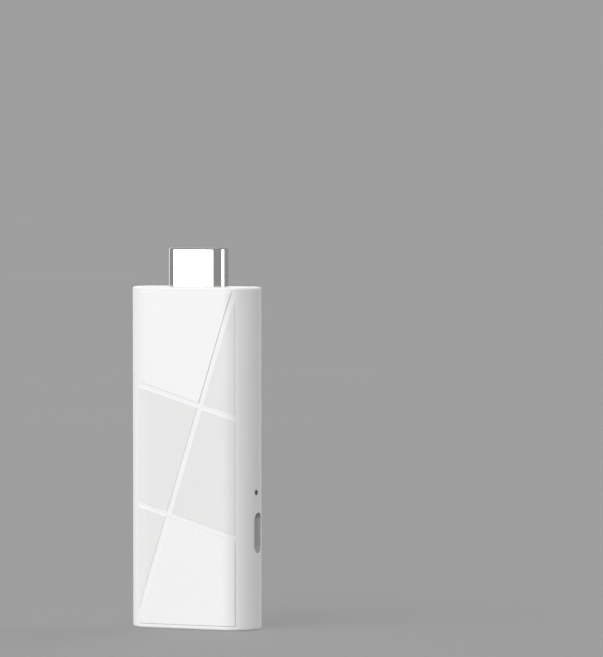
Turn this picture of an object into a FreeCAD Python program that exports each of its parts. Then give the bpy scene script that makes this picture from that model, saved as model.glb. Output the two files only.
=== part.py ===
"""Streaming media player: a slim stick with an HDMI plug on top, a USB-C port and a reset pinhole.

Frame: millimetres. The stick stands upright on its bottom end, at z = 0. The plug points up (+Z),
the faceted face looks along -Y, and the port and the pinhole are in the right-hand side (+X).
The origin is under the middle of the bounding box. Each physical piece is one STEP file.
"""

import FreeCAD, Part
import math
import os

# Housing
BODY_HEIGHT = 78.0
BODY_WIDTH = 31.0
SIDE_RADIUS = 6.3            # the sides are full half-rounds
TILE_RISE = 0.2              # the facets stand this far proud of the front
MID_Y = TILE_RISE / 2        # middle plane of the housing, so that the whole box is centred
WALL = 1.2
EDGE_RADIUS = 0.5            # top and bottom edges
SEAM_Y = 3.1                 # parting plane between the front shell and the rear cover
SEAM_CHAMFER = 0.08
LIP_THICK = 0.6
LIP_REACH = 0.8
LIP_GAP = 0.05

# Faceted front: a panel cut into six tiles by a leaning band and two that cross it
PANEL_HALF_WIDTH = 12.05
PANEL_BOTTOM = 1.1
PANEL_TOP = 76.85
BAND_WIDTH = 1.1
LONG_BAND_TILT = 17.6        # degrees the long band leans from upright
CROSS_BAND_TILT = 17.1       # degrees the cross bands lean from level
LONG_BAND_Z = 39.6           # where the long band crosses the centre line
CROSS_BAND_Z = (24.8, 52.2)  # where the two cross bands cross the centre line
SMOOTH_TILES = {"upper_facet_plate": "upper_left", "lower_facet_plate": "lower_right"}
PLATE_SEAT = 0.6             # depth of the pockets that hold the two smooth plates
PLATE_GAP = 0.06

# HDMI type A plug
PLUG_WIDTH = 13.9
PLUG_DEPTH = 4.45
PLUG_NARROW = 10.0           # width of the narrow side, which faces front
PLUG_CHAMFER = 1.58          # how far the slanted flanks reach back
PLUG_CORNERS = (0.3, 1.0, 0.5)  # outer bend radii at the narrow side, flanks and wide side
PLUG_SHEET = 0.3
PLUG_REACH = 8.8             # how far it stands out of the housing
PLUG_Y = 0.35
PLUG_FOOT_Z = 70.8
PLUG_SLOT = (11.9, 1.9, 7.0)  # width, thickness and depth of the mouth in the insulator
CONTACT_PITCH = 1.0
CONTACT_SIZE = (0.45, 0.25)

# USB-C receptacle, lying along X
PORT_Y = -0.13
PORT_Z = 22.08
PORT_SIZE = (9.24, 3.3)      # opening in the housing, along Z and Y
PORT_EASE = 0.12             # rounding of the opening's outer edge
PORT_SHELL = (8.94, 3.1)
PORT_SHEET = 0.25
PORT_MOUTH_X = 15.0
PORT_LENGTH = 7.0
TONGUE = (6.6, 0.7, 4.4)     # along Z, Y and X
PORT_CONTACTS = 12
PORT_CONTACT_PITCH = 0.5
PORT_CONTACT_SIZE = (3.5, 0.12, 0.26)  # along X, Y and Z
PORT_PLUG = 1.6              # how far the insert fills the back of the shell

# Main board
BOARD_THICK = 0.8
BOARD_Y = PLUG_Y
BOARD_HALF_WIDTH = 13.1
BOARD_BOTTOM = 2.6
BOARD_TOP = 75.4
BOARD_CORNER = 1.5
SCREW_PLACES = [(x, z) for x in (-10.9, 10.9) for z in (12.0, 66.5)]
SCREW_RADIUS = 0.75
SCREW_LENGTH = 3.6
SCREW_HEAD = (1.4, 0.8)      # radius and height
SCREW_CROSS = (1.5, 0.35, 0.4)  # length, width and depth of the driver recess
BOSS_RADIUS = 1.6

# Reset switch
RESET_Y = -1.15
RESET_Z = 31.35
PINHOLE_RADIUS = 0.6
SWITCH_SIZE = (2.6, 1.9, 3.6)  # along X, Y and Z
SWITCH_FACE_X = 12.6
PLUNGER_SIZE = (0.8, 1.3)      # along Y and Z
PLUNGER_TIP_X = 13.4
PLUNGER_TRAVEL = 0.25
PLUNGER_GAP = 0.06
PLUNGER_FLANGE = (0.94, 1.1, 2.4)  # along X, Y and Z
SWITCH_CHAMBER = (1.6, 1.3, 2.7)
STEM_X = SWITCH_FACE_X - 1.5   # inner end of the plunger
CHAMBER_X = SWITCH_FACE_X - 2.1
DOME_THICK = 0.12
CLIP_SHEET = 0.15

# Chips and cans on the board: the middle as (X, Z), the size as (X, Z, rise off the board)
PROCESSOR_PLACE = (0.0, 52.0)
PROCESSOR_SIZE = (12.0, 12.0, 1.3)
FENCE_SIZE = (16.4, 20.4, 1.9)
COVER_SIZE = (17.0, 21.0, 2.2)
MEMORY_PLACES = [(-4.2, 52.0), (4.2, 52.0)]
MEMORY_SIZE = (7.5, 11.0, 0.9)
FLASH_PLACE = (0.0, 38.5)
FLASH_SIZE = (11.5, 13.0, 0.9)
REAR_CAN_PLACE = (0.0, 46.2)
REAR_CAN_SIZE = (18.0, 32.0, 1.8)
WIRELESS_PLACE = (-2.5, 13.5)
WIRELESS_SIZE = (12.0, 12.0, 0.5)
WIRELESS_CAN = (11.4, 11.4, 1.5)
POWER_PLACE = (2.5, 32.5)
POWER_SIZE = (5.0, 5.0, 0.9)
INDUCTOR_PLACES = [(-3.2, 32.5), (-8.4, 32.5)]
INDUCTOR_SIZE = (4.2, 4.2, 2.0)
CRYSTAL_PLACE = (-10.6, 57.0)
CRYSTAL_SIZE = (2.5, 3.2, 0.8)
CAPACITOR_SIZE = (1.6, 0.8, 0.8)
ANTENNA_X = 9.0
ANTENNA_LENGTH = 6.0
CAN_SHEET = 0.2

# Heat spreaders and the pads that fill the gaps below them
SPREADER_Y = (-4.3, -3.3)
SPREADER_SIZE = (17.6, 35.0)
SPREADER_Z = 51.5
REAR_PLATE_Y = (3.9, 4.7)
REAR_PLATE_SIZE = (17.0, 36.0)
REAR_PLATE_Z = 49.0
CHIP_PAD = (11.0, 11.0)
COVER_PAD = (15.0, 18.0)
REAR_PAD = (14.0, 26.0)

# Bracket that grips the plug inside the housing
COLLAR_SIZE = (16.4, 7.4)
COLLAR_Z = (71.6, BODY_HEIGHT - WALL - 0.05)

# Cooling slits and label field in the back
SLIT_COUNT = 9
SLIT_PITCH = 1.6
SLIT_SIZE = (0.8, 9.0)
SLIT_Z = 61.0
LABEL_SIZE = (15.0, 24.0)
LABEL_Z = 27.0
LABEL_DEPTH = 0.25
LABEL_THICK = 0.15
LABEL_MARGIN = 0.15
LABEL_CORNER = 1.0

FLAT_HALF = BODY_WIDTH / 2 - SIDE_RADIUS
BACK_Y = MID_Y + SIDE_RADIUS
BOARD_FRONT = BOARD_Y - BOARD_THICK / 2
BOARD_REAR = BOARD_Y + BOARD_THICK / 2
PLUG_TOP = BODY_HEIGHT + PLUG_REACH
PORT_BACK_X = PORT_MOUTH_X - PORT_LENGTH
FAR = 60.0                   # longer than any part, for cutting tools


def vec(x, y, z):
    return FreeCAD.Vector(x, y, z)


def box(x_span, y_span, z_span):
    """A block between the two ends of each span."""
    sizes = [span[1] - span[0] for span in (x_span, y_span, z_span)]
    return Part.makeBox(*sizes, vec(x_span[0], y_span[0], z_span[0]))


def around(middle, size):
    """The span of a size about a middle."""
    return (middle - size / 2, middle + size / 2)


def post(axis, start, radius, length):
    """A cylinder from a start point along an axis."""
    return Part.makeCylinder(radius, length, vec(*start), vec(*axis))


def stadium_wire(half_flat, radius):
    """Outline in the XY plane: two straight runs joined by half-rounds."""
    corners = [vec(-half_flat, -radius, 0), vec(half_flat, -radius, 0),
               vec(half_flat, radius, 0), vec(-half_flat, radius, 0)]
    right = Part.Arc(corners[1], vec(half_flat + radius, 0, 0), corners[2]).toShape()
    left = Part.Arc(corners[3], vec(-half_flat - radius, 0, 0), corners[0]).toShape()
    front = Part.LineSegment(corners[0], corners[1]).toShape()
    rear = Part.LineSegment(corners[2], corners[3]).toShape()
    return Part.Wire([front, right, rear, left])


def housing_prism(inset, z_span):
    """The housing's section, pulled in by an inset, between two heights."""
    face = Part.Face(stadium_wire(FLAT_HALF, SIDE_RADIUS - inset))
    face.translate(vec(0, MID_Y, z_span[0]))
    return face.extrude(vec(0, 0, z_span[1] - z_span[0]))


def port_prism(size, x_span):
    """A stadium section of a size (along Z, along Y), lying along X at the port."""
    face = Part.Face(stadium_wire((size[0] - size[1]) / 2, size[1] / 2))
    face.rotate(vec(0, 0, 0), vec(0, 1, 0), -90)
    face.translate(vec(x_span[0], PORT_Y, PORT_Z))
    return face.extrude(vec(x_span[1] - x_span[0], 0, 0))


def plug_prism(grow, z_span):
    """The HDMI outline, grown outwards, between two heights."""
    half, narrow, depth = PLUG_WIDTH / 2, PLUG_NARROW / 2, PLUG_DEPTH / 2
    flank = -depth + PLUG_CHAMFER
    points = [(-narrow, -depth), (narrow, -depth), (half, flank),
              (half, depth), (-half, depth), (-half, flank)]
    outline = Part.makePolygon([vec(x, y, 0) for x, y in points + points[:1]])
    face = Part.Face(outline)
    if grow:
        face = face.makeOffset2D(grow, 2)
    face.translate(vec(0, PLUG_Y, z_span[0]))
    prism = face.extrude(vec(0, 0, z_span[1] - z_span[0]))
    for bend, corner in zip(PLUG_CORNERS, (points[1], points[2], points[3])):
        reach = abs(grow) + 0.1
        upright = [e for e in prism.Edges if is_upright(e)
                   and abs(abs(e.Vertexes[0].X) - corner[0]) < 1.5 * reach
                   and abs(e.Vertexes[0].Y - PLUG_Y - corner[1]) < 1.5 * reach]
        prism = prism.makeFillet(max(bend + grow, 0.05), upright)
    return prism


def is_upright(edge):
    return edge.BoundBox.XLength < 1e-6 and edge.BoundBox.YLength < 1e-6


def fuse(shapes):
    """One solid from touching shapes."""
    return shapes[0].multiFuse(shapes[1:]).removeSplitter()


def cut(shape, tools):
    """A shape with each tool removed."""
    for tool in tools:
        shape = shape.cut(tool)
    return shape


# ---------------------------------------------------------------- faceted front

def keep_side(polygon, point, normal, margin):
    """The part of a polygon more than a margin to the side of a line that the normal points to."""
    heights = [(x - point[0]) * normal[0] + (z - point[1]) * normal[1] - margin
               for x, z in polygon]
    kept = []
    for i, (x, z) in enumerate(polygon):
        previous, before = polygon[i - 1], heights[i - 1]
        if (before < 0) != (heights[i] < 0):
            share = before / (before - heights[i])
            kept.append((previous[0] + share * (x - previous[0]),
                         previous[1] + share * (z - previous[1])))
        if heights[i] >= 0:
            kept.append((x, z))
    return kept


def tile_outlines(margin=0.0):
    """The six tiles by name, each as corner points in X and Z, pulled in by a margin."""
    long_tilt, cross_tilt = math.radians(LONG_BAND_TILT), math.radians(CROSS_BAND_TILT)
    across = (math.cos(long_tilt), -math.sin(long_tilt))
    along = (math.sin(cross_tilt), math.cos(cross_tilt))
    panel = [(sx * (PANEL_HALF_WIDTH - margin), z)
             for sx, z in ((-1, PANEL_BOTTOM + margin), (1, PANEL_BOTTOM + margin),
                           (1, PANEL_TOP - margin), (-1, PANEL_TOP - margin))]
    edge = BAND_WIDTH / 2 + margin
    low, high = CROSS_BAND_Z
    rows = {"upper": [(high, 1)], "middle": [(high, -1), (low, 1)], "lower": [(low, -1)]}
    outlines = {}
    for side, sign in (("left", -1), ("right", 1)):
        normal = (sign * across[0], sign * across[1])
        half = keep_side(panel, (0, LONG_BAND_Z), normal, edge)
        for row, limits in rows.items():
            outline = half
            for z, up in limits:
                outline = keep_side(outline, (0, z), (up * along[0], up * along[1]), edge)
            outlines[row + "_" + side] = outline
    return outlines


def tile_prism(outline):
    """An outline on the front face, cut straight back through the front half."""
    points = [vec(x, -FAR, z) for x, z in outline + outline[:1]]
    return Part.Face(Part.makePolygon(points)).extrude(vec(0, FAR + MID_Y, 0))


def side_offset(point):
    """How far a point stands out of the housing's plain outer surface."""
    across = max(abs(point.x) - FLAT_HALF, 0)
    return math.hypot(across, point.y - MID_Y) - SIDE_RADIUS


def facet_plate(outline):
    """A plate that follows the housing's curve, sunk into it by the pockets' depth."""
    layer = housing_prism(-TILE_RISE, (0, BODY_HEIGHT)).cut(
        housing_prism(PLATE_SEAT, (0, BODY_HEIGHT)))
    return layer.common(tile_prism(outline))


def moulded_tiles():
    """The four tiles that are moulded with the front shell."""
    return [facet_plate(outline) for name, outline in tile_outlines().items()
            if name not in SMOOTH_TILES.values()]


# ---------------------------------------------------------------- housing

def rounded_block():
    """The housing's outer form with its top and bottom edges rounded."""
    block = housing_prism(0, (0, BODY_HEIGHT))
    edges = [e for e in block.Edges
             if abs(e.BoundBox.ZMax - e.BoundBox.ZMin) < 1e-6]
    return block.makeFillet(EDGE_RADIUS, edges)


def housing_openings():
    """What is cut through both shells: plug opening, port and pinhole."""
    plug = plug_prism(0.1, (PLUG_FOOT_Z, PLUG_TOP))
    port = port_prism(PORT_SIZE, (PORT_BACK_X - 1, FAR))
    pinhole = post((1, 0, 0), (PLUNGER_TIP_X, RESET_Y, RESET_Z), PINHOLE_RADIUS, FAR)
    return [plug, port, pinhole]


def outer_half(y_span):
    """The solid housing on one side of the seam, with the seam's outer edge chamfered."""
    half = rounded_block().common(box((-FAR, FAR), y_span, (-FAR, 2 * FAR)))
    seam = [e for e in half.Edges
            if abs(e.BoundBox.YMin - SEAM_Y) < 1e-6 and abs(e.BoundBox.YMax - SEAM_Y) < 1e-6]
    return half.makeChamfer(SEAM_CHAMFER, seam)


def ease_port(shell):
    """The shell with the port opening's outer edge rounded."""
    def on_rim(edge):
        middle = edge.CenterOfMass
        near = (abs(middle.z - PORT_Z) < PORT_SIZE[0] / 2 + 0.1
                and abs(middle.y - PORT_Y) < PORT_SIZE[1] / 2 + 0.1)
        return near and middle.x > FLAT_HALF and abs(side_offset(middle)) < 0.08
    return shell.makeFillet(PORT_EASE, [e for e in shell.Edges if on_rim(e)])


def front_shell():
    """Front bucket with the tiles, plate pockets, board bosses and heat spreader ribs."""
    cavity = housing_prism(WALL, (WALL, BODY_HEIGHT - WALL))
    shell = cut(outer_half((-FAR, SEAM_Y)), [cavity] + housing_openings())
    shell = fuse([ease_port(shell)] + moulded_tiles())
    outlines = tile_outlines(-PLATE_GAP)
    seat = housing_prism(PLATE_SEAT, (0, BODY_HEIGHT))
    for tile in SMOOTH_TILES.values():
        shell = shell.cut(tile_prism(outlines[tile]).cut(seat))
    keep = housing_prism(WALL / 2, (WALL / 2, BODY_HEIGHT - WALL / 2))
    ribs = [box((-8, 8), (MID_Y - SIDE_RADIUS + WALL / 2, SPREADER_Y[0]), around(z, 1.0))
            for z in (38, 66)]
    bosses = [post((0, -1, 0), (x, BOARD_FRONT, z), BOSS_RADIUS, FAR).common(keep)
              for x, z in SCREW_PLACES]
    pilots = [post((0, -1, 0), (x, BOARD_FRONT, z), SCREW_RADIUS - 0.05,
                   SCREW_LENGTH - BOARD_THICK + 0.4) for x, z in SCREW_PLACES]
    return cut(fuse([shell] + ribs + bosses), pilots)


def seam_lip():
    """The rear cover's lip, which reaches inside the front shell and keeps the halves in line."""
    lip = None
    for gap, y_span in ((LIP_GAP, (SEAM_Y - LIP_REACH, SEAM_Y)), (0, (SEAM_Y, SEAM_Y + LIP_REACH))):
        outer_z = (WALL + gap, BODY_HEIGHT - WALL - gap)
        inner_z = (WALL + LIP_THICK, BODY_HEIGHT - WALL - LIP_THICK)
        ring = housing_prism(WALL + gap, outer_z).cut(housing_prism(WALL + LIP_THICK, inner_z))
        ring = ring.common(box((-FAR, FAR), y_span, (-FAR, 2 * FAR)))
        lip = ring if lip is None else lip.fuse(ring)
    return lip


def rear_cover():
    """Rear cover with its lip, pressure ribs, cooling slits and the shallow label field."""
    cavity = housing_prism(WALL, (WALL, BODY_HEIGHT - WALL))
    ribs = [box((-7.5, 7.5), (REAR_PLATE_Y[1], BACK_Y - WALL + 0.3), around(z, 1.0))
            for z in (34, 52)]
    shell = fuse([outer_half((SEAM_Y, FAR)).cut(cavity), seam_lip()] + ribs)
    collar_room = box(around(0, COLLAR_SIZE[0] + 0.2), around(PLUG_Y, COLLAR_SIZE[1] + 0.2),
                      (COLLAR_Z[0] - 0.1, COLLAR_Z[1] + 0.05))
    slits = [box(around((i - (SLIT_COUNT - 1) / 2) * SLIT_PITCH, SLIT_SIZE[0]),
                 (BACK_Y - 2 * WALL, BACK_Y + 1), around(SLIT_Z, SLIT_SIZE[1]))
             for i in range(SLIT_COUNT)]
    label_field = label_block(LABEL_MARGIN, (BACK_Y - LABEL_DEPTH, BACK_Y + 1))
    return cut(shell, [collar_room, label_field] + slits + housing_openings())


def label_block(margin, y_span):
    """The label's round-cornered outline, grown by a margin."""
    block = box(around(0, LABEL_SIZE[0] + 2 * margin), y_span,
                around(LABEL_Z, LABEL_SIZE[1] + 2 * margin))
    corners = [e for e in block.Edges if e.BoundBox.XLength + e.BoundBox.ZLength < 1e-6]
    return block.makeFillet(LABEL_CORNER + margin, corners)


def rating_label():
    """A blank label in its shallow field on the back."""
    return label_block(0, (BACK_Y - LABEL_DEPTH, BACK_Y - LABEL_DEPTH + LABEL_THICK))


# ---------------------------------------------------------------- HDMI plug

def plug_collar():
    """The plastic bracket that grips the plug inside the housing."""
    block = box(around(0, COLLAR_SIZE[0]), around(PLUG_Y, COLLAR_SIZE[1]), COLLAR_Z)
    board_ends = [box(sorted((side * 7.6, side * FAR)), around(BOARD_Y, BOARD_THICK + 0.1),
                      (0, BODY_HEIGHT)) for side in (-1, 1)]
    return cut(block, [plug_prism(0.02, (FAR, PLUG_TOP))] + board_ends)


def plug_shell():
    """The folded metal shell, open at its mouth."""
    return plug_prism(0, (PLUG_FOOT_Z, PLUG_TOP)).cut(
        plug_prism(-PLUG_SHEET, (FAR, PLUG_TOP + 1)))


def plug_insulator():
    """The moulded block with the slot that takes the receptacle's tongue."""
    block = plug_prism(-PLUG_SHEET - 0.02, (PLUG_FOOT_Z + 0.3, PLUG_TOP - 0.5))
    width, thick, depth = PLUG_SLOT
    slot = box(around(0, width), around(PLUG_Y, thick), (PLUG_TOP - depth, PLUG_TOP + 1))
    board_end = box(around(0, 12.4), around(BOARD_Y, BOARD_THICK + 0.1), (0, PLUG_FOOT_Z + 1.6))
    return cut(block, [slot, board_end] + contact_bars(0.02))


def contact_bars(grow):
    """Ten contacts at the rear of the slot and nine at its front, with tails on the board."""
    wide, thick = CONTACT_SIZE
    bars = []
    for side, count, board_face in ((1, 10, BOARD_REAR), (-1, 9, BOARD_FRONT)):
        face = PLUG_Y + side * PLUG_SLOT[1] / 2
        y_span = sorted((face - side * 0.1, face + side * thick))
        tail = sorted((board_face, board_face + side * 0.2))
        for i in range(count):
            x = (i - (count - 1) / 2) * CONTACT_PITCH
            run = box(around(x, wide + 2 * grow), (y_span[0] - grow, y_span[1] + grow),
                      (PLUG_FOOT_Z - 0.2, PLUG_TOP - 1.3 + grow))
            foot = box(around(x, wide + 2 * grow), (tail[0], tail[1]), (69.2, PLUG_FOOT_Z + 0.4))
            riser_span = (min(y_span[0], tail[0]), max(y_span[1], tail[1]))
            riser = box(around(x, wide + 2 * grow), riser_span, (PLUG_FOOT_Z - 0.2, PLUG_FOOT_Z))
            bars.append(fuse([run, riser, foot]))
    return bars


def plug_contacts():
    return Part.makeCompound(contact_bars(0))


# ---------------------------------------------------------------- USB-C port

def port_shell():
    """The receptacle's metal tube, open at the mouth and closed behind."""
    inner = (PORT_SHELL[0] - 2 * PORT_SHEET, PORT_SHELL[1] - 2 * PORT_SHEET)
    return port_prism(PORT_SHELL, (PORT_BACK_X, PORT_MOUTH_X)).cut(
        port_prism(inner, (PORT_BACK_X - 1, PORT_MOUTH_X + 1)))


def port_insert():
    """The moulded back of the receptacle with its tongue."""
    inner = [size - 2 * PORT_SHEET - 0.04 for size in PORT_SHELL]
    plug = port_prism(inner, (PORT_BACK_X, PORT_BACK_X + PORT_PLUG))
    tongue = box((PORT_BACK_X + 1, PORT_BACK_X + 1 + TONGUE[2]), around(PORT_Y, TONGUE[1]),
                 around(PORT_Z, TONGUE[0]))
    return cut(fuse([plug, tongue]), port_contact_bars())


def port_contact_bars():
    """Two rows of contacts let into the faces of the tongue."""
    length, thick, wide = PORT_CONTACT_SIZE
    x_span = (PORT_BACK_X + PORT_PLUG, PORT_BACK_X + PORT_PLUG + length)
    bars = []
    for side in (-1, 1):
        face = PORT_Y + side * TONGUE[1] / 2
        for i in range(PORT_CONTACTS):
            z = PORT_Z + (i - (PORT_CONTACTS - 1) / 2) * PORT_CONTACT_PITCH
            bars.append(box(x_span, sorted((face, face - side * thick)), around(z, wide)))
    return bars


def port_contacts():
    return Part.makeCompound(port_contact_bars())


# ---------------------------------------------------------------- main board

def main_board():
    """The board, notched for the plug and the port and drilled for its screws."""
    board = box(around(0, 2 * BOARD_HALF_WIDTH), (BOARD_FRONT, BOARD_REAR),
                (BOARD_BOTTOM, BOARD_TOP))
    corners = [e for e in board.Edges if abs(e.BoundBox.YMax - e.BoundBox.YMin) > 0.5]
    board = board.makeFillet(BOARD_CORNER, corners)
    plug_notch = box(around(0, PLUG_WIDTH + 1.3), around(BOARD_Y, 5), (PLUG_FOOT_Z - 0.05, 90))
    port_notch = box((PORT_BACK_X - 0.1, FAR), around(BOARD_Y, 5),
                     around(PORT_Z, PORT_SHELL[0] + 0.2))
    holes = [post((0, 1, 0), (x, -FAR, z), SCREW_RADIUS + 0.1, 2 * FAR) for x, z in SCREW_PLACES]
    return cut(board, [plug_notch, port_notch] + holes)


def chip(place, size, side, lift=0.0):
    """A rectangular part on the front (side -1) or rear (side 1) of the board."""
    face = BOARD_REAR if side > 0 else BOARD_FRONT
    y_span = sorted((face + side * lift, face + side * (lift + size[2])))
    return box(around(place[0], size[0]), y_span, around(place[1], size[1]))


def can(place, size, side, lift=0.0):
    """A five-sided metal cover, open towards the board."""
    hollow = [size[0] - 2 * CAN_SHEET, size[1] - 2 * CAN_SHEET, size[2] - CAN_SHEET]
    return chip(place, size, side, lift).cut(chip(place, hollow, side, lift))


def shield_fence():
    """The frame soldered round the processor, which the cover clips over."""
    hollow = (FENCE_SIZE[0] - 2 * CAN_SHEET, FENCE_SIZE[1] - 2 * CAN_SHEET, FENCE_SIZE[2])
    return chip(PROCESSOR_PLACE, FENCE_SIZE, -1).cut(chip(PROCESSOR_PLACE, hollow, -1))


def board_screws():
    """Pan-head screws from behind, through the board into the front shell's bosses."""
    long, narrow, deep = SCREW_CROSS
    radius, height = SCREW_HEAD
    top = BOARD_REAR + height
    screws = []
    for x, z in SCREW_PLACES:
        shank = post((0, -1, 0), (x, BOARD_REAR, z), SCREW_RADIUS - 0.06, SCREW_LENGTH)
        head = post((0, 1, 0), (x, BOARD_REAR, z), radius, height)
        recess = [box(around(x, wide), (top - deep, top), around(z, high))
                  for wide, high in ((narrow, long), (long, narrow))]
        screws.append(cut(fuse([shank, head]), recess))
    return Part.makeCompound(screws)


def pad(place, size, y_span):
    """A soft pad that fills the gap between two faces."""
    return box(around(place[0], size[0]), y_span, around(place[1], size[1]))


def board_nodes():
    """Everything soldered to, or pressed against, the board."""
    processor_top = PROCESSOR_SIZE[2]
    pad_thick = COVER_SIZE[2] - CAN_SHEET - processor_top
    cover_top = BOARD_FRONT - COVER_SIZE[2]
    rear_can_top = BOARD_REAR + REAR_CAN_SIZE[2]
    return {
        "processor": chip(PROCESSOR_PLACE, PROCESSOR_SIZE, -1),
        "processor_thermal_pad": chip(PROCESSOR_PLACE, CHIP_PAD + (pad_thick,), -1,
                                      processor_top),
        "shield_fence": shield_fence(),
        "shield_cover": can(PROCESSOR_PLACE, COVER_SIZE, -1),
        "spreader_thermal_pad": pad(PROCESSOR_PLACE, COVER_PAD, (SPREADER_Y[1], cover_top)),
        "front_heat_spreader": pad((0, SPREADER_Z), SPREADER_SIZE, SPREADER_Y),
        "memory_chips": Part.makeCompound([chip(place, MEMORY_SIZE, 1)
                                           for place in MEMORY_PLACES]),
        "flash_chip": chip(FLASH_PLACE, FLASH_SIZE, 1),
        "rear_shield_can": can(REAR_CAN_PLACE, REAR_CAN_SIZE, 1),
        "rear_thermal_pad": pad(REAR_CAN_PLACE, REAR_PAD, (rear_can_top, REAR_PLATE_Y[0])),
        "rear_heat_spreader": pad((0, REAR_PLATE_Z), REAR_PLATE_SIZE, REAR_PLATE_Y),
        "wireless_module": chip(WIRELESS_PLACE, WIRELESS_SIZE, -1),
        "wireless_module_can": can(WIRELESS_PLACE, WIRELESS_CAN, -1, WIRELESS_SIZE[2]),
        "power_controller": chip(POWER_PLACE, POWER_SIZE, -1),
        "power_inductors": Part.makeCompound([inductor(place) for place in INDUCTOR_PLACES]),
        "clock_crystal": chip(CRYSTAL_PLACE, CRYSTAL_SIZE, -1),
        "capacitors": capacitors(),
        "wifi_antennas": Part.makeCompound([antenna(side) for side in (-1, 1)]),
    }


def inductor(place):
    """A moulded choke with clipped upright edges."""
    block = chip(place, INDUCTOR_SIZE, -1)
    upright = [e for e in block.Edges if e.BoundBox.XLength + e.BoundBox.ZLength < 1e-6]
    return block.makeChamfer(0.5, upright)


def capacitors():
    """Rows of small capacitors beside the chips they feed."""
    front = [(-10.6, 41 + 2.2 * i) for i in range(6)]
    front += [(10.6, 41 + 2.2 * i) for i in range(9)]
    front += [(-4.5 + 2.4 * i, 27.6) for i in range(4)]
    rear = [(-8 + 3.2 * i, 27) for i in range(5)]
    return Part.makeCompound([chip(place, CAPACITOR_SIZE, side)
                              for side, places in ((-1, front), (1, rear)) for place in places])


def antenna(side):
    """A folded strip antenna at a lower corner of the board."""
    base = chip((side * ANTENNA_X, 4.4), (ANTENNA_LENGTH, 2.0, 0.3), -1)
    fin = chip((side * ANTENNA_X, 3.55), (ANTENNA_LENGTH, 0.3, 2.2), -1)
    return fuse([base, fin])


# ---------------------------------------------------------------- reset switch

def switch_block(x_span, size, grow=0.0):
    """A block in the middle of the switch, of a size along Y and Z."""
    return box(x_span, around(RESET_Y, size[0] + 2 * grow), around(RESET_Z, size[1] + 2 * grow))


def reset_switch_body():
    """The moulded base of the side-pressed switch, hollow behind the plunger."""
    x_span = (SWITCH_FACE_X - SWITCH_SIZE[0], SWITCH_FACE_X)
    body = box(x_span, (BOARD_FRONT - SWITCH_SIZE[1], BOARD_FRONT),
               around(RESET_Z, SWITCH_SIZE[2]))
    chamber = switch_block((CHAMBER_X, CHAMBER_X + SWITCH_CHAMBER[0]), SWITCH_CHAMBER[1:])
    passage = switch_block((STEM_X, FAR), PLUNGER_SIZE, PLUNGER_GAP)
    return cut(body, [chamber, passage])


def reset_switch_dome():
    """The snap spring behind the plunger."""
    return switch_block((CHAMBER_X, CHAMBER_X + DOME_THICK), PLUNGER_FLANGE[1:])


def reset_switch_frame():
    """The metal clip over the switch body, soldered to the board at its ends."""
    x_span = (SWITCH_FACE_X - SWITCH_SIZE[0] + 0.4, SWITCH_FACE_X - 0.5)
    lid_y = BOARD_FRONT - SWITCH_SIZE[1]
    half = SWITCH_SIZE[2] / 2
    lid = box(x_span, (lid_y - CLIP_SHEET, lid_y), around(RESET_Z, 2 * (half + CLIP_SHEET)))
    legs = [box(x_span, (lid_y - CLIP_SHEET, BOARD_FRONT),
                sorted((RESET_Z + side * half, RESET_Z + side * (half + CLIP_SHEET))))
            for side in (-1, 1)]
    return fuse([lid] + legs)


def reset_plunger():
    """The sliding button with its retaining flange inside the switch."""
    stem = switch_block((STEM_X, PLUNGER_TIP_X), PLUNGER_SIZE)
    flange = switch_block((STEM_X, STEM_X + PLUNGER_FLANGE[0]), PLUNGER_FLANGE[1:])
    return fuse([stem, flange])


# ---------------------------------------------------------------- writing

def all_nodes():
    nodes = {
        "front_shell": front_shell(),
        "rear_cover": rear_cover(),
        "rating_label": rating_label(),
        "plug_collar": plug_collar(),
        "hdmi_plug_shell": plug_shell(),
        "hdmi_plug_insulator": plug_insulator(),
        "hdmi_plug_contacts": plug_contacts(),
        "usb_c_shell": port_shell(),
        "usb_c_insert": port_insert(),
        "usb_c_contacts": port_contacts(),
        "main_board": main_board(),
        "board_screws": board_screws(),
        "reset_switch_body": reset_switch_body(),
        "reset_switch_dome": reset_switch_dome(),
        "reset_switch_frame": reset_switch_frame(),
        "reset_plunger": reset_plunger(),
    }
    for node, tile in SMOOTH_TILES.items():
        nodes[node] = facet_plate(tile_outlines()[tile])
    nodes.update(board_nodes())
    return nodes


def main():
    os.makedirs("parts", exist_ok=True)
    for name, shape in all_nodes().items():
        print("%-24s %9.2f mm3  solids %2d  valid %s"
              % (name, shape.Volume, len(shape.Solids), shape.isValid()))
        shape.exportStep("parts/%s.step" % name)


main()
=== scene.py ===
"""Looks of the streaming media player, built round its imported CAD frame.

Sizes and places in the geometry are millimetres, scaled to metres where a mesh is made. The
studio and the camera are in metres and degrees.
"""

import math
from collections import defaultdict

import bmesh
import bpy
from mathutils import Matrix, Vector


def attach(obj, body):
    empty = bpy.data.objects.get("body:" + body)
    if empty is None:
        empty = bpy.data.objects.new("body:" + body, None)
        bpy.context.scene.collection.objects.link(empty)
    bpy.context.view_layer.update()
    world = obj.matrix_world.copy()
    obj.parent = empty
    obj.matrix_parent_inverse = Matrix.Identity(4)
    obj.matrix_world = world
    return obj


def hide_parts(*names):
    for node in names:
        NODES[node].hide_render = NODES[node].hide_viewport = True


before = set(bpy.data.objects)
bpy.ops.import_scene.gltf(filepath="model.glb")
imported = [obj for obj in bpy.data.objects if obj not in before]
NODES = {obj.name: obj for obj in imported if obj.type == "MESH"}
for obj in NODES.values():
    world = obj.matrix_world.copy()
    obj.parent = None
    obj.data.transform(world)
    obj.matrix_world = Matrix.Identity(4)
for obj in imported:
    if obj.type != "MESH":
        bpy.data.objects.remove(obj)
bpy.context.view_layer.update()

MM = 0.001

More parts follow.
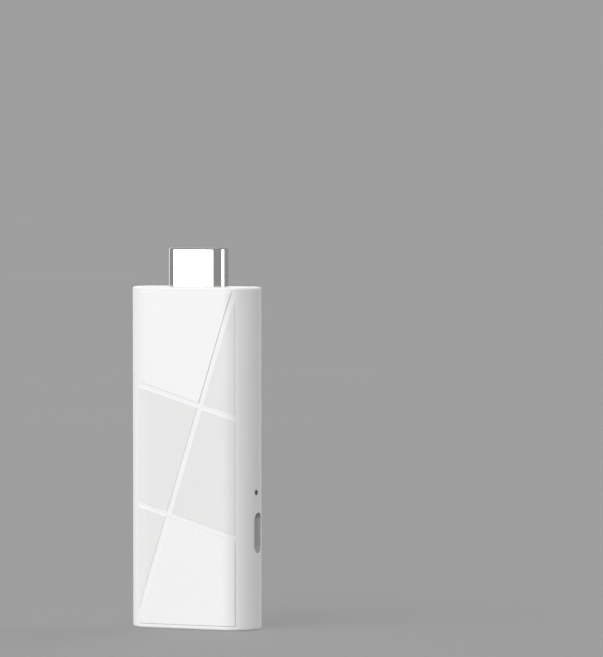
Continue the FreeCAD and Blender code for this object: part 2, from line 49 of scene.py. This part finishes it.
# Housing, as in the CAD frame
FLAT_HALF = 9.2              # half the width between the rounded sides
SIDE_RADIUS = 6.3
MID_Y = 0.1
WALL = 1.2
HEIGHT = 78.0
EDGE_RADIUS = 0.5            # top and bottom edges
BACK_EDGE_ROUND = 0.12       # slits and label field in the back
SLIT_FIELD = (13.6, 9.0)     # the cooling slits together, along X and Z
SLIT_Z = 61.0

# Faceted front
PANEL_HALF = 12.05
PANEL_Z = (1.1, 76.85)
BAND_WIDTH = 1.1
LONG_BAND_TILT = math.radians(17.6)   # from upright
CROSS_BAND_TILT = math.radians(17.1)  # from level
LONG_BAND_Z = 39.6                    # where the bands cross the centre line
CROSS_BAND_Z = (24.8, 52.2)
PLATE_RISE = 0.2
MOULDED_RISE = 0.16
POCKET_DEPTH = 0.6           # of the seats that hold the two smooth plates
MOULDED_FOOT = 0.15          # how far the moulded tiles reach into the shell
RIM_ROUND = 0.15
CORNER_ROUND = 0.2
SHOULDER_STEP = 0.25         # spacing of the cuts that let a tile bend round the side
SMOOTH_TILES = {             # where each plate lies, and how far it is grown into its gap
    "upper_facet_plate": ("upper_left", 0.045),
    "lower_facet_plate": ("lower_right", 0.025),
}
MOULDED_GROWTH = 0.02

# HDMI plug, with its section as corner points in X and Y and the bend radius at each
PLUG_Y = 0.35
PLUG_POINTS = [(-5.0, -2.225), (5.0, -2.225), (6.95, -0.645),
               (6.95, 2.225), (-6.95, 2.225), (-6.95, -0.645)]
PLUG_BENDS = [0.3, 0.3, 1.4, 0.5, 0.5, 1.4]
PLUG_SHEET = 0.3
PLUG_Z = (70.8, 86.8)
PLUG_LIP = 0.22
PLUG_NOSE = 0.5

# USB-C port and reset pinhole, whose axes are given as Y and Z
PORT_AXIS = (-0.13, 22.08)
PORT_SHELL = (8.94, 3.1)
PORT_SHEET = 0.25
PORT_X = (8.0, 15.0)
PORT_LIP = 0.12
PORT_OPENING = (9.24, 3.3)
PINHOLE_AXIS = (-1.15, 31.35)
PINHOLE_RADIUS = 0.6

ON_SURFACE = 0.03            # how near a point counts as on the housing's surface
UNDER_SURFACE = 0.02         # how deep a point has to lie to count as below that surface
ON_WALL = 0.01               # how near a face counts as on the wall of an opening
SLACK = 0.1                  # added round a region when faces are picked out of it
ARC_STEPS = 4                # flats in a rounded rim or tile corner; the plug's have twice as many
STUB = 0.5                   # corners of a tile nearer than this become one
LEAST_BEND = 0.04            # smallest bend left on the inner corners of the plug's sheet

# Studio
BACKDROP = 0.342
FLOOR = 0.333
FLOOR_HALF = 30.0
CAMERA_PLACE = (0.5107, -1.1212, 0.1117)
CAMERA_LENS = 295.7
CAMERA_HEADING = math.radians(24.49)
CAMERA_ASIDE = math.radians(-1.113)
CAMERA_DOWN = math.radians(2.012)


# ---------------------------------------------------------------- shading normals

def side_frame(point):
    """The housing's outward direction at a point in millimetres, and its offset from the surface."""
    core = max(-FLAT_HALF, min(FLAT_HALF, point.x))
    out = Vector((point.x - core, point.y - MID_Y, 0))
    return out.normalized(), out.length - SIDE_RADIUS


def housing_normal(point, facing):
    """The exact normal on the housing's outer surface, or None off it."""
    point = point / MM
    out, offset = side_frame(point)
    over = max(point.z - (HEIGHT - EDGE_RADIUS), EDGE_RADIUS - point.z, 0)
    up = 1 if point.z > HEIGHT / 2 else -1
    if over > 0 and offset < UNDER_SURFACE:
        turn = Vector((offset + EDGE_RADIUS, over))
        exact = (out * turn.x + Vector((0, 0, up * turn.y))).normalized()
        on_surface = turn.x > -UNDER_SURFACE and abs(turn.length - EDGE_RADIUS) < ON_SURFACE
    else:
        exact = out
        on_surface = min(abs(offset - rise) for rise in (0, MOULDED_RISE, PLATE_RISE)) < ON_SURFACE
    return exact if on_surface and exact.dot(facing) > 0.95 else None


def shade(mesh, surface=None, limit=38):
    """Sets corner normals: faces that meet at a small angle blend by area, others stay crisp."""
    least = math.cos(math.radians(limit))
    around = defaultdict(list)
    for face in mesh.polygons:
        face.use_smooth = True
        for v in face.vertices:
            around[v].append((face.normal.copy(), face.area))
    normals = [None] * len(mesh.loops)
    for face in mesh.polygons:
        for loop, v in zip(face.loop_indices, face.vertices):
            exact = surface(mesh.vertices[v].co, face.normal) if surface else None
            if exact is None:
                total = Vector()
                for normal, area in around[v]:
                    if normal.dot(face.normal) > least:
                        total += normal * area
                exact = total.normalized() if total.length > 0 else face.normal
            normals[loop] = exact
    mesh.normals_split_custom_set(normals)


# ---------------------------------------------------------------- making pieces

def piece(name, bm, mats, replaced=(), surface=None):
    """A finished object from a bmesh in metres, riding on the player."""
    bmesh.ops.recalc_face_normals(bm, faces=bm.faces[:])
    mesh = bpy.data.meshes.new(name)
    bm.to_mesh(mesh)
    bm.free()
    for mat in mats:
        mesh.materials.append(mat)
    shade(mesh, surface)
    obj = bpy.data.objects.new(name, mesh)
    bpy.context.scene.collection.objects.link(obj)
    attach(obj, "player")
    if replaced:
        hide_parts(*replaced)


def node_mesh(node):
    """A welded bmesh of a CAD node."""
    bm = bmesh.new()
    bm.from_mesh(NODES[node].data)
    bmesh.ops.remove_doubles(bm, verts=bm.verts, dist=1e-6)
    return bm


def merge_flats(bm):
    """Joins coplanar triangles, so that edges can be rounded cleanly."""
    bmesh.ops.dissolve_limit(bm, angle_limit=math.radians(0.3), verts=bm.verts,
                             edges=bm.edges, delimit={"NORMAL"})


def round_edges(bm, width, chosen, least=40):
    """Rounds the sharp edges that are chosen."""
    edges = [e for e in bm.edges if len(e.link_faces) == 2
             and e.calc_face_angle(0) > math.radians(least) and chosen(e)]
    bmesh.ops.bevel(bm, geom=edges, offset=width * MM, offset_type="OFFSET",
                    segments=3, profile=0.5, affect="EDGES", clamp_overlap=True)


def rounded_outline(points, bends, steps):
    """A convex outline with each corner turned into an arc of its own radius."""
    outline = []
    for i, corner in enumerate(points):
        corner = Vector(corner)
        before = (Vector(points[i - 1]) - corner).normalized()
        after = (Vector(points[(i + 1) % len(points)]) - corner).normalized()
        half = before.angle(after) / 2
        middle = corner + (before + after).normalized() * bends[i] / math.sin(half)
        first = corner + before * bends[i] / math.tan(half) - middle
        last = corner + after * bends[i] / math.tan(half) - middle
        turn = first.angle(last)
        for k in range(steps + 1):
            share = k / steps
            outline.append(middle + (first * math.sin((1 - share) * turn)
                                     + last * math.sin(share * turn)) / math.sin(turn))
    return outline


def inset_outline(points, amount):
    """A convex outline moved inwards."""
    moved = []
    for i, corner in enumerate(points):
        corner = Vector(corner)
        before = (Vector(points[i - 1]) - corner).normalized()
        after = (Vector(points[(i + 1) % len(points)]) - corner).normalized()
        half = before.angle(after) / 2
        moved.append(corner + (before + after).normalized() * amount / math.sin(half))
    return moved


def skin(bm, rings, closed=False):
    """Joins rings of points in millimetres into bands of quads and returns their vertices."""
    made = [[bm.verts.new(p * MM) for p in ring] for ring in rings]
    for low, high in zip(made, made[1:] + made[:1] if closed else made[1:]):
        for i in range(len(low)):
            bm.faces.new((low[i - 1], low[i], high[i], high[i - 1]))
    return made


def folded_tube(outline_at, place, span, sheet, lip, nose):
    """A thin sheet-metal tube whose outside is drawn in by the lip over the length of its nose.

    outline_at(inset) gives its section; the rest of the sheet is rounded on the inside.
    """
    foot, mouth = span
    profile = [(0, foot)]
    for k in range(ARC_STEPS + 1):
        turn = math.pi / 2 * k / ARC_STEPS
        profile.append((lip * (1 - math.cos(turn)), mouth - nose * (1 - math.sin(turn))))
    for k in range(1, ARC_STEPS + 1):
        turn = math.pi / 2 * k / ARC_STEPS
        profile.append((lip + (sheet - lip) * math.sin(turn),
                        mouth - (sheet - lip) * (1 - math.cos(turn))))
    profile.append((sheet, foot))
    bm = bmesh.new()
    skin(bm, [[place(p, along) for p in outline_at(inset)] for inset, along in profile],
         closed=True)
    return bm


# ---------------------------------------------------------------- materials

def finish(name, colour, drift=0.03, rough=0.45, uneven=0.08, grain=(3000, 0.05), metallic=0.0,
           stretch=(1, 1, 1), specular=0.5, patch=(90, 500)):
    """A procedural finish: slowly drifting colour, uneven roughness and a fine relief.

    grain is the relief's frequency per metre and its strength. patch holds the frequencies of
    the colour drift and of the roughness. stretch below 1 draws all three out along an axis.
    """
    mat = bpy.data.materials.new(name)
    mat.use_nodes = True
    nodes, links = mat.node_tree.nodes, mat.node_tree.links
    shader = nodes["Principled BSDF"]
    shader.inputs["Metallic"].default_value = metallic
    shader.inputs["Specular IOR Level"].default_value = specular
    place = nodes.new("ShaderNodeTexCoord")
    mapping = nodes.new("ShaderNodeMapping")
    mapping.inputs["Scale"].default_value = stretch
    links.new(place.outputs["Object"], mapping.inputs["Vector"])

    def noise(scale, detail):
        node = nodes.new("ShaderNodeTexNoise")
        node.inputs["Scale"].default_value = scale
        node.inputs["Detail"].default_value = detail
        links.new(mapping.outputs["Vector"], node.inputs["Vector"])
        return node.outputs["Fac"]

    ramp = nodes.new("ShaderNodeValToRGB")
    ramp.color_ramp.elements[0].position = 0.3
    ramp.color_ramp.elements[1].position = 0.7
    for element, lift in zip(ramp.color_ramp.elements, (1 - drift, 1 + drift)):
        element.color = [min(c * lift, 1) for c in colour] + [1]
    links.new(noise(patch[0], 4), ramp.inputs["Fac"])
    links.new(ramp.outputs["Color"], shader.inputs["Base Color"])

    spread = nodes.new("ShaderNodeMapRange")
    spread.inputs["From Min"].default_value = 0.3
    spread.inputs["From Max"].default_value = 0.7
    spread.inputs["To Min"].default_value = rough - uneven
    spread.inputs["To Max"].default_value = rough + uneven
    links.new(noise(patch[1], 5), spread.inputs["Value"])
    links.new(spread.outputs["Result"], shader.inputs["Roughness"])

    bump = nodes.new("ShaderNodeBump")
    bump.inputs["Strength"].default_value = grain[1]
    bump.inputs["Distance"].default_value = 0.0001
    links.new(noise(grain[0], 3), bump.inputs["Height"])
    links.new(bump.outputs["Normal"], shader.inputs["Normal"])
    return mat


HOUSING = finish("moulded_white", (0.825, 0.825, 0.82), 0.006, 0.42, 0.03, (6000, 0.05))
TILE = finish("textured_white", (0.765, 0.765, 0.76), 0.01, 0.58, 0.05, (6500, 0.25))
PLATE = finish("smooth_white", (0.83, 0.83, 0.825), 0.005, 0.32, 0.015, (7000, 0.03))
# Painted shade: a dark grey and a mid grey put on the walls of narrow openings, where shade falls.
DARK_PAINTED_SHADE = finish("painted_shade_dark", (0.09, 0.09, 0.09), 0.05, 0.7, 0.05, (6000, 0.1))
GREY_PAINTED_SHADE = finish("painted_shade_grey", (0.30, 0.30, 0.30), 0.04, 0.6, 0.05, (6000, 0.1))
LABEL = finish("label_film", (0.62, 0.62, 0.61), 0.02, 0.5, 0.06, (4000, 0.08))
STEEL = finish("plug_steel", (0.70, 0.695, 0.68), 0.015, 0.10, 0.02, (2500, 0.012), 1.0,
               (1, 1, 0.08))
# The port's steel shell is given a darker grey than its own, partly painted shade for the inside of
# the port.
PORT_STEEL_AND_PAINTED_SHADE = finish("port_steel", (0.40, 0.40, 0.40), 0.05, 0.5, 0.06, (4000, 0.08), 0.35,
                    (0.1, 1, 1))
BLACK = finish("black_moulding", (0.018, 0.018, 0.02), 0.2, 0.5, 0.1, (4000, 0.15))
GOLD = finish("contact_gold", (0.83, 0.62, 0.28), 0.06, 0.25, 0.07, (3000, 0.05), 1.0)

FINISHES = {
    "collar_plastic": finish("collar_plastic", (0.05, 0.05, 0.055), 0.15, 0.5, 0.1,
                             (3500, 0.15)),
    "plug_steel": STEEL,
    "insulator_plastic": BLACK,
    "contact_gold": GOLD,
    "port_steel": PORT_STEEL_AND_PAINTED_SHADE,
    "board_laminate": finish("board_laminate", (0.012, 0.075, 0.045), 0.35, 0.35, 0.1,
                             (1800, 0.35), patch=(700, 900)),
    "chip_black": finish("chip_black", (0.022, 0.022, 0.024), 0.25, 0.55, 0.1, (5000, 0.25)),
    "shield_steel": finish("shield_steel", (0.62, 0.62, 0.60), 0.05, 0.32, 0.08,
                           (2500, 0.06), 1.0, (1, 1, 0.15)),
    "spreader_aluminium": finish("spreader_aluminium", (0.72, 0.73, 0.74), 0.04, 0.38, 0.08,
                                 (2500, 0.12), 1.0, (0.1, 1, 1)),
    "thermal_pad": finish("thermal_pad", (0.30, 0.36, 0.42), 0.1, 0.8, 0.08, (2200, 0.4)),
    "capacitor_ceramic": finish("capacitor_ceramic", (0.36, 0.22, 0.12), 0.12, 0.5, 0.1,
                                (4000, 0.15)),
    "inductor_grey": finish("inductor_grey", (0.10, 0.10, 0.105), 0.15, 0.65, 0.1,
                            (3000, 0.4)),
    "screw_steel": finish("screw_steel", (0.45, 0.45, 0.44), 0.06, 0.28, 0.08, (3000, 0.08),
                          1.0),
    "switch_plastic": BLACK,
    # The plunger is dark plastic; its dark colour also paints in the shade down the pinhole.
    "plunger_plastic": finish("plunger_plastic", (0.06, 0.06, 0.062), 0.15, 0.5, 0.1,
                              (4000, 0.15)),
    "label_film": LABEL,
    "housing_white": HOUSING,
    "facet_white": PLATE,
}


# ---------------------------------------------------------------- housing

def front_y(x, rise):
    """Where the front lies, a rise above the housing's surface, at a place across it."""
    over = max(abs(x) - FLAT_HALF, 0)
    return MID_Y - math.sqrt((SIDE_RADIUS + rise) ** 2 - over ** 2)


def lower_tiles(bm):
    """Sinks the moulded tiles of the CAD shell under the rounded ones that cover them."""
    for v in bm.verts:
        point = v.co / MM
        if side_frame(point)[1] > PLATE_RISE / 2:
            v.co.y = front_y(point.x, PLATE_RISE / 2) * MM


def paint_shade_in_openings(bm):
    """Paints shade on the walls of the pinhole and plate pockets with finish 1, and on those of the
    port with finish 2.

    Lights that cast no shadow reach into such narrow places, so the shade they miss there is painted
    into the walls' colour.
    """
    port_y, port_z = PORT_AXIS
    pin_y, pin_z = PINHOLE_AXIS
    for face in bm.faces:
        middle = face.calc_center_median() / MM
        offset = side_frame(middle)[1]
        along = max(abs(middle.z - port_z) - PORT_OPENING[0] / 2 + PORT_OPENING[1] / 2, 0)
        on_panel = middle.y < 0 and abs(middle.x) < PANEL_HALF + SLACK \
            and PANEL_Z[0] - SLACK < middle.z < PANEL_Z[1] + SLACK
        in_pinhole = math.hypot(middle.y - pin_y, middle.z - pin_z) < PINHOLE_RADIUS + ON_WALL
        in_port = math.hypot(middle.y - port_y, along) < PORT_OPENING[1] / 2 + ON_WALL
        # Painted shade: dark grey on the pocket and pinhole walls, mid grey on the port's walls.
        if on_panel and -POCKET_DEPTH - SLACK < offset < -UNDER_SURFACE:
            face.material_index = 1
        elif middle.x > FLAT_HALF and in_pinhole:
            face.material_index = 1
        elif middle.x > FLAT_HALF and in_port:
            face.material_index = 2


def paint_shade_in_slits(bm):
    """Paints shade on the walls of the cooling slits in the back, with finish 1."""
    for face in bm.faces:
        middle = face.calc_center_median() / MM
        depth = MID_Y + SIDE_RADIUS - middle.y
        in_field = abs(middle.x) < SLIT_FIELD[0] / 2 + SLACK \
            and abs(middle.z - SLIT_Z) < SLIT_FIELD[1] / 2 + SLACK
        if in_field and BACK_EDGE_ROUND + ON_SURFACE < depth < WALL - ON_SURFACE:
            face.material_index = 1


def on_back(edge):
    """Whether an edge lies in the flat of the back."""
    return all(abs(v.co.y / MM - (MID_Y + SIDE_RADIUS)) < ON_WALL for v in edge.verts)


def housing():
    """The front shell and the rear cover."""
    front = node_mesh("front_shell")
    lower_tiles(front)
    # Painted shade goes on the walls of the front shell's pinhole, port and plate pockets.
    paint_shade_in_openings(front)
    piece("housing_front", front, [HOUSING, DARK_PAINTED_SHADE, GREY_PAINTED_SHADE], ["front_shell"],
          surface=housing_normal)
    rear = node_mesh("rear_cover")
    merge_flats(rear)
    round_edges(rear, BACK_EDGE_ROUND, on_back)
    # Painted shade goes on the walls of the cooling slits.
    paint_shade_in_slits(rear)
    piece("housing_back", rear, [HOUSING, GREY_PAINTED_SHADE], ["rear_cover"],
          surface=housing_normal)


# ---------------------------------------------------------------- tiles

def keep_side(polygon, point, normal, margin):
    """The part of a polygon more than a margin to the side of a line that the normal points to."""
    heights = [(x - point[0]) * normal[0] + (z - point[1]) * normal[1] - margin
               for x, z in polygon]
    kept = []
    for i, (x, z) in enumerate(polygon):
        previous, before = polygon[i - 1], heights[i - 1]
        if (before < 0) != (heights[i] < 0):
            share = before / (before - heights[i])
            kept.append((previous[0] + share * (x - previous[0]),
                         previous[1] + share * (z - previous[1])))
        if heights[i] >= 0:
            kept.append((x, z))
    return kept


def tile_outlines():
    """The six tiles by name, as corner points in X and Z."""
    across = (math.cos(LONG_BAND_TILT), -math.sin(LONG_BAND_TILT))
    along = (math.sin(CROSS_BAND_TILT), math.cos(CROSS_BAND_TILT))
    low_z, high_z = PANEL_Z
    panel = [(-PANEL_HALF, low_z), (PANEL_HALF, low_z), (PANEL_HALF, high_z),
             (-PANEL_HALF, high_z)]
    low, high = CROSS_BAND_Z
    rows = {"upper": [(high, 1)], "middle": [(high, -1), (low, 1)], "lower": [(low, -1)]}
    outlines = {}
    for side, sign in (("left", -1), ("right", 1)):
        half = keep_side(panel, (0, LONG_BAND_Z), (sign * across[0], sign * across[1]),
                         BAND_WIDTH / 2)
        for row, limits in rows.items():
            outline = half
            for z, up in limits:
                outline = keep_side(outline, (0, z), (up * along[0], up * along[1]),
                                    BAND_WIDTH / 2)
            outlines[row + "_" + side] = without_stubs(outline)
    return outlines


def without_stubs(outline):
    """Leaves out corners that lie almost on top of the one before."""
    return [p for i, p in enumerate(outline)
            if math.dist(p, outline[i - 1]) > STUB]


def bend_cuts(bm):
    """Cuts a flat mesh across where the housing's front curves back."""
    for side in (-1, 1):
        for k in range(math.ceil((PANEL_HALF - FLAT_HALF) / SHOULDER_STEP)):
            bmesh.ops.bisect_plane(
                bm, geom=bm.verts[:] + bm.edges[:] + bm.faces[:], dist=1e-9,
                plane_co=(side * (FLAT_HALF + SHOULDER_STEP * k) * MM, 0, 0), plane_no=(1, 0, 0))


def tile(bm, outline, foot, growth, rise):
    """Adds a closed plate with a rounded rim that follows the housing's curve.

    It is made flat, with the height above the housing's surface along -Y, and then bent.
    """
    profile = [(0, -foot)]
    for k in range(ARC_STEPS + 1):
        turn = math.pi / 2 * k / ARC_STEPS
        profile.append((RIM_ROUND * (1 - math.cos(turn)),
                        rise - RIM_ROUND * (1 - math.sin(turn))))
    flat = bmesh.new()
    rings = []
    for inset, height in profile:
        corners = inset_outline(outline, inset - growth)
        bends = [CORNER_ROUND - inset] * len(corners)
        rings.append([Vector((p.x, -height, p.y))
                      for p in rounded_outline(corners, bends, ARC_STEPS)])
    made = skin(flat, rings)
    flat.faces.new(made[0])
    flat.faces.new(made[-1])
    bend_cuts(flat)
    for v in flat.verts:
        v.co.y = front_y(v.co.x / MM, -v.co.y / MM) * MM
    mesh = bpy.data.meshes.new("part")
    flat.to_mesh(mesh)
    flat.free()
    bm.from_mesh(mesh)
    bpy.data.meshes.remove(mesh)


def tiles():
    """The two smooth plates, and the four moulded tiles with their textured faces."""
    outlines = tile_outlines()
    for node, (place, growth) in SMOOTH_TILES.items():
        bm = bmesh.new()
        tile(bm, outlines.pop(place), POCKET_DEPTH, growth, PLATE_RISE)
        piece(node + "_rounded", bm, [PLATE], [node], surface=housing_normal)
    bm = bmesh.new()
    for outline in outlines.values():
        tile(bm, outline, MOULDED_FOOT, MOULDED_GROWTH, MOULDED_RISE)
    # The rims take the smooth plates' lighter finish, whose lighter colour paints a highlight along
    # them.
    for face in bm.faces:
        face.normal_update()
        out = side_frame(face.calc_center_median() / MM)[0]
        if abs(face.normal.dot(out)) < 0.98:
            face.material_index = 1
    piece("moulded_tiles", bm, [TILE, PLATE], surface=housing_normal)


# ---------------------------------------------------------------- plug and port

def plug_outline(inset):
    """The plug's section, as X and Y."""
    return rounded_outline(inset_outline(PLUG_POINTS, inset),
                           [max(bend - inset, LEAST_BEND) for bend in PLUG_BENDS], 2 * ARC_STEPS)


def port_outline(inset):
    """The port's section, a slot with half-round ends, as distances along Z and Y."""
    radius = PORT_SHELL[1] / 2
    half = PORT_SHELL[0] / 2 - radius
    outline = []
    for side in (1, -1):
        for k in range(17):
            turn = math.pi * k / 16
            outline.append(Vector((side * (half + (radius - inset) * math.sin(turn)),
                                   side * (radius - inset) * math.cos(turn))))
    return outline


def connectors():
    """The metal shells of the plug and of the port."""
    port_y, port_z = PORT_AXIS
    plug = folded_tube(plug_outline, lambda p, z: Vector((p.x, p.y + PLUG_Y, z)),
                       PLUG_Z, PLUG_SHEET, PLUG_LIP, PLUG_NOSE)
    piece("plug_shell", plug, [STEEL], ["hdmi_plug_shell"])
    port = folded_tube(port_outline, lambda p, x: Vector((x, port_y + p.y, port_z + p.x)),
                       PORT_X, PORT_SHEET, PORT_LIP, PORT_LIP)
    piece("port_shell", port, [PORT_STEEL_AND_PAINTED_SHADE], ["usb_c_shell"])


# ---------------------------------------------------------------- CAD nodes that stay

# Each node's edge rounding
ROUNDED_NODES = {
    "board_screws": 0.06, "capacitors": 0.07, "clock_crystal": 0.15, "flash_chip": 0.06,
    "front_heat_spreader": 0.15, "hdmi_plug_contacts": 0.04, "hdmi_plug_insulator": 0.08,
    "main_board": 0.04, "memory_chips": 0.06, "plug_collar": 0.25, "power_controller": 0.05,
    "power_inductors": 0.12, "processor": 0.08, "processor_thermal_pad": 0.1,
    "rating_label": 0.03, "rear_heat_spreader": 0.15, "rear_shield_can": 0.08,
    "rear_thermal_pad": 0.2, "reset_plunger": 0.08, "reset_switch_body": 0.08,
    "reset_switch_dome": 0.03, "reset_switch_frame": 0.05, "shield_cover": 0.08,
    "shield_fence": 0.05, "spreader_thermal_pad": 0.2, "usb_c_contacts": 0.02,
    "usb_c_insert": 0.08, "wifi_antennas": 0.06, "wireless_module": 0.04,
    "wireless_module_can": 0.06,
}


def cad_nodes():
    """Rounds the edges of the CAD nodes that stay, and gives each its finish."""
    for node, width in ROUNDED_NODES.items():
        obj = NODES[node]
        slot = obj.data.materials[0].name.split(".")[0]
        obj.data.materials.clear()
        obj.data.materials.append(FINISHES[slot])
        weld = obj.modifiers.new("weld", "WELD")
        weld.merge_threshold = 1e-6
        flats = obj.modifiers.new("flats", "DECIMATE")
        flats.decimate_type = "DISSOLVE"
        flats.angle_limit = math.radians(0.5)
        bevel = obj.modifiers.new("bevel", "BEVEL")
        bevel.width = width * MM
        bevel.segments = 2
        bevel.limit_method = "ANGLE"
        bevel.angle_limit = math.radians(40)
        bevel.harden_normals = True
        weights = obj.modifiers.new("weights", "WEIGHTED_NORMAL")
        weights.keep_sharp = True


# ---------------------------------------------------------------- studio

def bearing(azimuth, elevation=0):
    """The direction at an azimuth from the front, turning to the right, and an elevation."""
    a, e = math.radians(azimuth), math.radians(elevation)
    return Vector((math.sin(a) * math.cos(e), -math.cos(a) * math.cos(e), math.sin(e)))


def sun(name, azimuth, elevation, strength, spread, shadow=True):
    """A soft distant light that leaves no spot in glossy surfaces."""
    light = bpy.data.lights.new(name, "SUN")
    light.energy = strength
    light.angle = math.radians(spread)
    light.use_shadow = shadow
    obj = bpy.data.objects.new(name, light)
    bpy.context.scene.collection.objects.link(obj)
    obj.rotation_mode = "QUATERNION"
    obj.rotation_quaternion = bearing(azimuth, elevation).to_track_quat("Z", "Y")
    obj.visible_glossy = False


def softbox(name, azimuth, distance, width, height, radiance):
    """An upright light panel on the floor that only shows in glossy surfaces."""
    light = bpy.data.lights.new(name, "AREA")
    light.shape = "RECTANGLE"
    light.size, light.size_y = width, height
    light.energy = radiance * math.pi * width * height
    obj = bpy.data.objects.new(name, light)
    bpy.context.scene.collection.objects.link(obj)
    obj.location = bearing(azimuth) * distance + Vector((0, 0, height / 2))
    obj.rotation_mode = "QUATERNION"
    obj.rotation_quaternion = bearing(azimuth).to_track_quat("Z", "Y")
    obj.visible_camera = False
    obj.visible_diffuse = False


def studio():
    """A plain floor and background, soft light all round, and panels for the metal."""
    bm = bmesh.new()
    bm.faces.new([bm.verts.new((x * FLOOR_HALF, y * FLOOR_HALF, 0))
                  for x, y in ((-1, -1), (1, -1), (1, 1), (-1, 1))])
    mesh = bpy.data.meshes.new("floor")
    bm.to_mesh(mesh)
    bm.free()
    floor = bpy.data.objects.new("floor", mesh)
    bpy.context.scene.collection.objects.link(floor)
    mesh.materials.append(finish("pale_paper", (FLOOR, FLOOR, FLOOR), 0.01, 0.9, 0.03,
                                 (900, 0.02), specular=0.0, patch=(3, 8)))

    world = bpy.data.worlds.new("studio")
    world.use_nodes = True
    colour = world.node_tree.nodes["Background"].inputs["Color"]
    colour.default_value = (BACKDROP, BACKDROP, BACKDROP, 1)
    bpy.context.scene.world = world
    sun("key", -22, 33, 0.12, 80)
    sun("key_open", -22, 33, 2.69, 60, False)
    sun("fill_open", 108, 25, 0.1, 60, False)
    sun("rim_open", 145, 25, 1.15, 60, False)
    sun("top_open", 0, 89, 0.1, 40, False)
    softbox("front_panel", -25, 1.4, 0.9, 0.5, 3.4)
    softbox("side_panel", 90, 1.2, 1.35, 0.6, 2.4)
    softbox("back_panel", -140, 1.2, 0.9, 0.6, 1.6)


def camera():
    """The camera, level except for a slight look down and to the side of the player."""
    lens = bpy.data.cameras.new("camera")
    lens.lens = CAMERA_LENS
    lens.sensor_width = 36
    lens.clip_end = 100
    obj = bpy.data.objects.new("camera", lens)
    bpy.context.scene.collection.objects.link(obj)
    obj.location = CAMERA_PLACE
    forward = Vector((-math.sin(CAMERA_HEADING), math.cos(CAMERA_HEADING), 0))
    right = Vector((math.cos(CAMERA_HEADING), math.sin(CAMERA_HEADING), 0))
    level = forward * math.cos(CAMERA_ASIDE) - right * math.sin(CAMERA_ASIDE)
    look = level * math.cos(CAMERA_DOWN) - Vector((0, 0, math.sin(CAMERA_DOWN)))
    obj.rotation_mode = "QUATERNION"
    obj.rotation_quaternion = look.to_track_quat("-Z", "Y")
    bpy.context.scene.camera = obj


housing()
tiles()
connectors()
cad_nodes()
studio()
camera()
bpy.context.scene.view_settings.view_transform = "Standard"
